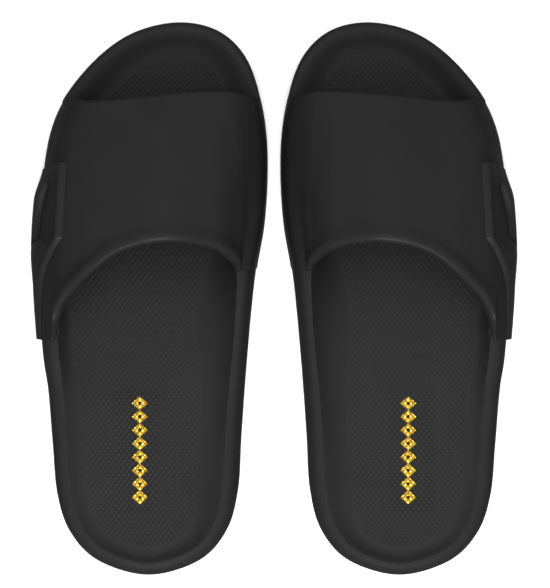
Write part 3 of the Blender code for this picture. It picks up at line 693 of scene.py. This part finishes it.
def bead_lift(rows, from_edge):
    """How far the rolled bead stands above the strap at a distance from the rear edge."""
    return BEAD_ROLL * eased(BEAD_ROLL_ROWS, rows) * np.exp(-((from_edge / BEAD_ROLL_WIDTH) ** 2))


def strap_loop(row, rear_distances):
    """One closed section of the strap, round its outer face, rear edge, inner face and front edge. Near the
    rear edge it is sampled at the given distances from it."""
    front, rear = strap_middle(np.array([row, row]), np.array([0.0, 1.0]))
    length = float(np.linalg.norm(rear - front))
    near = 1 - rear_distances / length
    shares = np.concatenate([np.linspace(0, near[0], STRAP_SPANS, endpoint=False), near])
    rows = np.full(len(shares), row)
    at, normal, rearward = strap_frame(rows, shares)
    half = strap_half_thickness(rows, shares)
    lift = bead_lift(rows, (1 - shares) * length)
    outer = at + normal * (half + lift)[:, None]
    inner = at - normal * half[:, None]
    angles = np.linspace(0, math.pi, EDGE_STEPS + 1)[1:-1, None]
    roundness = float(eased(EDGE_ROUNDNESS, np.array(row)))

    def round_edge(first, last, outward):
        centre, arm = (first + last) / 2, (first - last) / 2
        return centre + arm * np.cos(angles) + outward * np.linalg.norm(arm) * roundness * np.sin(angles)

    rear_edge = round_edge(outer[-1], inner[-1], rearward[-1])
    front_edge = round_edge(inner[0], outer[0], -rearward[0])
    return np.vstack([outer, rear_edge, inner[::-1], front_edge])


def strap(name, side, finish):
    """The wide padded band, from one skirt's foot to the other's, with a rolled bead on its rear edge."""
    rear_distances = np.linspace(STRAP_REAR_ZONE, 0.0, STRAP_REAR_SPANS + 1)
    rows = np.linspace(0, len(STRAP_ROWS) - 1, STRAP_RINGS + 1)
    loops = [strap_loop(row, rear_distances) for row in rows]
    count = len(loops[0])
    faces = grid_faces(len(loops), count, close_columns=True)
    last = (len(loops) - 1) * count
    faces += [list(range(count))[::-1], [last + k for k in range(count)]]
    return make_piece(name, side, np.vstack(loops), faces, finish)


# Wing


def edge_at(knots, shares):
    """The two other columns of knots (share, first, second) at each share, along straight lines."""
    table = np.array(knots)
    return np.column_stack([np.interp(shares, table[:, 0], table[:, k]) for k in (1, 2)])


def wing_top(along):
    """The wing's upper edge as (y, strap row), found from its distance u from the pair's middle."""
    y, u = edge_at(WING_TOP, along).T
    rows = np.tile(WING_ROWS, len(y))
    face = wing_surface(np.repeat(y, len(WING_ROWS)), rows, np.zeros(len(rows)))[:, 0]
    face = np.maximum.accumulate(face.reshape(len(y), -1), axis=1)
    return np.column_stack([y, [np.interp(target, line, WING_ROWS) for target, line in zip(u, face)]])


def wing_surface(y, rows, lift):
    """Points on the strap's outer face at each y and row, lifted off it."""
    front, rear = strap_ends(rows)
    shares = (front[:, 1] - y) / (front[:, 1] - rear[:, 1])
    at, normal, _ = strap_frame(rows, shares)
    return at + normal * (strap_half_thickness(rows, shares) + lift)[:, None]


def wing_lift(along, down, up):
    """The wing's height over the strap at each share along it, at distances down from its upper edge and up
    from its lower edge: the ledge, the window under its front half, and the plate below."""
    (front, rear), (front_end, rear_end) = WINDOW_ALONG, WINDOW_ENDS
    window = smooth_step(front, front + front_end, along) * smooth_step(0, rear_end, rear - along)
    to_rear = smooth_step(*WING_REAR, along)
    lift = LEDGE_LIFT + (LEDGE_LIFT_AT_REAR - LEDGE_LIFT) * to_rear
    lift = lift * smooth_step(0, LEDGE_WIDTH, down)
    lift -= (LEDGE_LIFT - WINDOW_LIFT) * window * smooth_step(*WINDOW_FROM, down)
    foot = np.interp(along, *np.array(WINDOW_FOOT).T)
    under_window = smooth_step(foot - WINDOW_FOOT_HALF, foot + WINDOW_FOOT_HALF, down)
    low = window * under_window + (1 - window) * smooth_step(*PLATE_FROM, down)
    plate = PLATE_LIFT + (PLATE_LIFT_AT_REAR - PLATE_LIFT) * to_rear
    plate = plate * (PLATE_FRONT_SHARE + (1 - PLATE_FRONT_SHARE) * smooth_step(0, PLATE_GROWS_OVER, along))
    lift += (plate - lift) * low
    inside = (along, 1 - along, down, up)
    border = np.minimum.reduce([distance / width for distance, width in zip(inside, WING_BORDERS)])
    rounded = np.sqrt(np.clip(1 - (1 - np.clip(border, 0, 1)) ** 2, 0, 1))
    return lift * rounded - WING_ROOT


def wing(name, side, finish):
    """The raised overlay on the strap's outer side."""
    along, across = WING_ALONG, WING_ACROSS
    shape = (len(along), len(across))
    top, bottom = wing_top(along), edge_at(WING_BOTTOM, along)
    places = top[:, None] + (bottom - top)[:, None] * across[None, :, None]
    y, rows = places[..., 0].ravel(), places[..., 1].ravel()
    lines = wing_surface(y, rows, np.zeros(len(y))).reshape(*shape, 3)
    down = np.cumsum(np.linalg.norm(np.diff(lines, axis=1, prepend=lines[:, :1]), axis=2), axis=1)
    lift = wing_lift(np.repeat(along, len(across)), down.ravel(), (down[:, -1:] - down).ravel())
    points = np.vstack([wing_surface(y, rows, lift), wing_surface(y, rows, np.full(len(y), WING_BACK))])
    sheet = grid_faces(*shape)
    count = len(y)
    faces = sheet + [[k + count for k in face[::-1]] for face in sheet]
    grid = np.arange(count).reshape(shape)
    border = np.concatenate([grid[0, :-1], grid[:-1, -1], grid[-1, :0:-1], grid[:0:-1, 0]]).tolist()
    for a, b in zip(border, border[1:] + border[:1]):
        faces.append([b, a, a + count, b + count])
    return make_piece(name, side, points, faces, finish)


# Emblem


def emblem(name, side, finish):
    """A chain of open diamonds in thin foil, which follows the beads that it is pressed onto."""
    low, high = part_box(f"{name.split('_')[0]}_heel_emblem")
    front, rear = high.y / MM, low.y / MM
    centre, half_width = abs(low.x + high.x) / 2 / MM, (high.x - low.x) / 2 / MM
    pitch = (front - rear) / EMBLEM_DIAMONDS
    rows = bead_rows(*BED_ENDS)
    points, faces = [], []
    for k in range(EMBLEM_DIAMONDS):
        y = front - pitch * (k + 0.5)
        outer = diamond(centre, y, half_width, pitch / 2 + EMBLEM_OVERLAP)
        inner = diamond(centre, y, EMBLEM_HOLE * half_width, EMBLEM_HOLE * pitch / 2)
        loops = [np.column_stack([outer, bed_height(outer) - EMBLEM_ROOT])]
        for share in np.linspace(0, 1, EMBLEM_RINGS):
            at = outer + (inner - outer) * share
            loops.append(np.column_stack([at, bed_surface(at[:, 0], at[:, 1], rows) + EMBLEM_RISE]))
        loops.append(np.column_stack([inner, bed_height(inner) - EMBLEM_ROOT]))
        band = grid_faces(len(loops), len(outer), close_rows=True, close_columns=True)
        faces += [[n + len(points) for n in face] for face in band]
        points += np.vstack(loops).tolist()
    return make_piece(name, side, points, faces, finish, sharp=60)


def bed_height(points):
    """Height of the footbed without its beads."""
    return height_on(FOOTBED_HEIGHT, points[:, 1])


def diamond(u, y, half_width, half_length):
    """A diamond's outline with EMBLEM_STEPS points on each side."""
    right, left = (u + half_width, y), (u - half_width, y)
    corners = np.array([right, (u, y - half_length), left, (u, y + half_length)])
    shares = np.linspace(0, 1, EMBLEM_STEPS, endpoint=False)[:, None]
    return np.vstack([a + (b - a) * shares for a, b in zip(corners, np.roll(corners, -1, axis=0))])


# Materials


def principled(name, colour, roughness, **inputs):
    """A new material and its shader, with plain values on the shader's inputs."""
    finish = bpy.data.materials.new(name)
    finish.use_nodes = True
    shader = finish.node_tree.nodes["Principled BSDF"]
    shader.inputs["Base Color"].default_value = (*colour, 1)
    shader.inputs["Roughness"].default_value = roughness
    for socket, value in inputs.items():
        shader.inputs[socket].default_value = value
    return finish, shader


def noise(finish, scale, detail=4.0, roughness=0.5):
    """A noise texture over the object's own coordinates, in features per metre."""
    nodes, links = finish.node_tree.nodes, finish.node_tree.links
    coordinates = nodes.get("Texture Coordinate") or nodes.new("ShaderNodeTexCoord")
    texture = nodes.new("ShaderNodeTexNoise")
    texture.inputs["Scale"].default_value = scale
    texture.inputs["Detail"].default_value = detail
    texture.inputs["Roughness"].default_value = roughness
    links.new(coordinates.outputs["Object"], texture.inputs["Vector"])
    return texture.outputs["Fac"]


def ramp(finish, value, stops):
    """Turns a value into colours through stops of (place, colour)."""
    node = finish.node_tree.nodes.new("ShaderNodeValToRGB")
    elements = node.color_ramp.elements
    for element, (place, colour) in zip(elements, stops):
        element.position, element.color = place, (*colour, 1)
    finish.node_tree.links.new(value, node.inputs["Fac"])
    return node.outputs["Color"]


def spread(finish, value, low, high):
    """Maps a noise's usual range to low..high."""
    node = finish.node_tree.nodes.new("ShaderNodeMapRange")
    node.inputs["From Min"].default_value, node.inputs["From Max"].default_value = NOISE_RANGE
    node.inputs["To Min"].default_value, node.inputs["To Max"].default_value = low, high
    finish.node_tree.links.new(value, node.inputs["Value"])
    return node.outputs["Result"]


def bumps(finish, shader, *layers):
    """Stacks bump layers of (value, distance in metres, strength) on the shader's normal."""
    nodes, links = finish.node_tree.nodes, finish.node_tree.links
    previous = None
    for value, distance, strength in layers:
        node = nodes.new("ShaderNodeBump")
        node.inputs["Distance"].default_value = distance
        node.inputs["Strength"].default_value = strength
        links.new(value, node.inputs["Height"])
        if previous:
            links.new(previous.outputs["Normal"], node.inputs["Normal"])
        previous = node
    links.new(previous.outputs["Normal"], shader.inputs["Normal"])


def foam(name, shade, roughness, gloss, grain):
    """Black moulded foam: a soft satin skin with a fine grain, clouded a little in tone."""
    finish, shader = principled(name, (shade, shade, shade), roughness, **{"Specular IOR Level": gloss})
    dark, light = shade * (1 - CLOUD_CONTRAST), shade * (1 + CLOUD_CONTRAST)
    tones = ((dark, dark, dark), (light, light, light + shade * BLUE_TINT))
    clouds = ramp(finish, noise(finish, CLOUD_SCALE), zip(NOISE_RANGE, tones))
    finish.node_tree.links.new(clouds, shader.inputs["Base Color"])
    patches = noise(finish, PATCH_SCALE)
    rough = spread(finish, patches, roughness - PATCH_CONTRAST, roughness + PATCH_CONTRAST)
    finish.node_tree.links.new(rough, shader.inputs["Roughness"])
    fine = (noise(finish, FINE_GRAIN_SCALE, detail=2), FINE_GRAIN_DEPTH, grain)
    coarse = (noise(finish, COARSE_GRAIN_SCALE, detail=3), COARSE_GRAIN_DEPTH, grain)
    bumps(finish, shader, fine, coarse)
    return finish


def foil(name):
    """Gold foil pressed onto beads: bright where it stretches over them, worn through in specks."""
    finish, shader = principled(name, GOLD, 0.32, Metallic=1.0)
    tones = noise(finish, FOIL_TONE_SCALE, detail=3)
    tone = ramp(finish, tones, [(FOIL_DEEP, DEEP_GOLD), (FOIL_BRIGHT, GOLD)])
    wear = noise(finish, FOIL_SPECK_SCALE, detail=2)
    specks = ramp(finish, wear, [(FOIL_WORN, (0, 0, 0)), (FOIL_WHOLE, (1, 1, 1))])
    mix = finish.node_tree.nodes.new("ShaderNodeMix")
    mix.data_type = "RGBA"
    mix.inputs["A"].default_value = (*WORN_GOLD, 1)
    finish.node_tree.links.new(specks, mix.inputs["Factor"])
    finish.node_tree.links.new(tone, mix.inputs["B"])
    finish.node_tree.links.new(mix.outputs["Result"], shader.inputs["Base Color"])
    rough = spread(finish, noise(finish, FOIL_SHEEN_SCALE), FOIL_SMOOTHEST, FOIL_ROUGHEST)
    finish.node_tree.links.new(rough, shader.inputs["Roughness"])
    bumps(finish, shader, (noise(finish, FOIL_CREASE_SCALE, detail=3), FOIL_CREASE_DEPTH, FOIL_CREASE))
    return finish


# The pair


def bend_with_sole(obj):
    """Bakes a piece's placement into its mesh."""
    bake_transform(obj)


def build_slide(name, side, finishes):
    """One slide's six pieces, the CAD parts that each of them replaces, and the forefoot that the strap and
    the wing ride on.
    """
    soft, skin, bed, rubber, gold = finishes
    cup = midsole(f"{name}_cup", side, soft)
    top = footbed(f"{name}_beaded_bed", side, bed)
    tread = outsole(f"{name}_tread", side, rubber)
    # The strap and the wing take the skin finish, whose darker shade is partly painted shade.
    band = strap(f"{name}_band", side, skin)
    ribs = wing(f"{name}_ribs", side, skin)
    badge = emblem(f"{name}_foil", side, gold)
    sole = (
        (cup, "midsole", "black_foam"),
        (top, "footbed", "textured_foam"),
        (tread, "outsole", "black_rubber"),
    )
    for obj, part, slot in sole:
        bend_with_sole(obj)
        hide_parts(f"{name}_{part}_forefoot", f"{name}_{part}_heel")
    for obj, part in ((band, "strap"), (ribs, "side_wing")):
        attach(obj, f"{name}_forefoot")
        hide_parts(f"{name}_{part}")
    bend_with_sole(badge)
    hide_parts(f"{name}_heel_emblem")


def build_pair():
    finishes = (
        foam("black_foam", shade=0.0117, roughness=0.5, gloss=0.03, grain=0.25),
        # The skin is darker than the cup's foam: partly its smoother skin, partly painted shade for the
        # strap's slope away from the lights.
        foam("black_foam_skin_painted_shade", shade=0.0081, roughness=0.42, gloss=0.072, grain=0.2),
        foam("textured_foam", shade=0.0111, roughness=0.5, gloss=0.055, grain=0.2),
        foam("black_rubber", shade=0.01, roughness=0.65, gloss=0.06, grain=0.3),
        foil("gold_foil"),
    )
    for name, side in SIDES.items():
        build_slide(name, side, finishes)


# Studio


def add_floor():
    """A white floor that the camera sees and that throws no light back onto the slides."""
    half = FLOOR_HALF_SIZE
    corners = [(-half, -half, 0), (half, -half, 0), (half, half, 0), (-half, half, 0)]
    mesh = bpy.data.meshes.new("floor")
    mesh.from_pydata(corners, [], [range(4)])
    floor = bpy.data.objects.new("floor", mesh)
    floor.location.z = FLOOR_HEIGHT
    finish, _ = principled("floor", (0.9, 0.9, 0.9), 0.9)
    mesh.materials.append(finish)
    bpy.context.scene.collection.objects.link(floor)
    floor.visible_glossy = floor.visible_diffuse = False


def add_light(name, place, target, size, power, glossy):
    """A square lamp that faces its target. Where it isn't glossy, it lights but isn't reflected."""
    data = bpy.data.lights.new(name, "AREA")
    data.size, data.energy = size, power
    light = bpy.data.objects.new(name, data)
    light.visible_glossy = glossy
    light.location = place
    light.rotation_euler = (Vector(target) - Vector(place)).to_track_quat("-Z", "Y").to_euler()
    light.visible_camera = False
    bpy.context.scene.collection.objects.link(light)


def add_world(horizon, zenith, below):
    """A dome of light with its brightness at the horizon, straight above and below the horizon."""
    world = bpy.data.worlds.new("studio")
    world.use_nodes = True
    nodes, links = world.node_tree.nodes, world.node_tree.links
    direction, split = nodes.new("ShaderNodeTexCoord"), nodes.new("ShaderNodeSeparateXYZ")
    dome = nodes.new("ShaderNodeValToRGB")
    stops = dome.color_ramp.elements
    stops.new(0.5)
    levels = ((0.5 - HORIZON_BLUR, below), (0.5 + HORIZON_BLUR, horizon), (1.0, zenith))
    for stop, (height, grey) in zip(stops, levels):
        stop.position, stop.color = height, (grey, grey, grey, 1)
    height_share = nodes.new("ShaderNodeMapRange")
    height_share.inputs["From Min"].default_value = -1.0
    links.new(direction.outputs["Generated"], split.inputs["Vector"])
    links.new(split.outputs["Z"], height_share.inputs["Value"])
    links.new(height_share.outputs["Result"], dome.inputs["Fac"])
    links.new(dome.outputs["Color"], nodes["Background"].inputs["Color"])
    bpy.context.scene.world = world


def add_camera():
    """A long lens straight above the pair, which nearly fills the frame."""
    data = bpy.data.cameras.new("camera")
    data.lens, data.sensor_width = CAMERA_LENS, CAMERA_SENSOR
    data.clip_end = CAMERA_REACH
    camera = bpy.data.objects.new("camera", data)
    camera.location = CAMERA_PLACE
    bpy.context.scene.collection.objects.link(camera)
    bpy.context.scene.camera = camera


def main():
    build_pair()
    add_floor()
    for light in LIGHTS:
        add_light(*light)
    add_world(horizon=1.5, zenith=1.05, below=0.2)
    add_camera()
    bpy.context.scene.view_settings.view_transform = "Standard"


main()
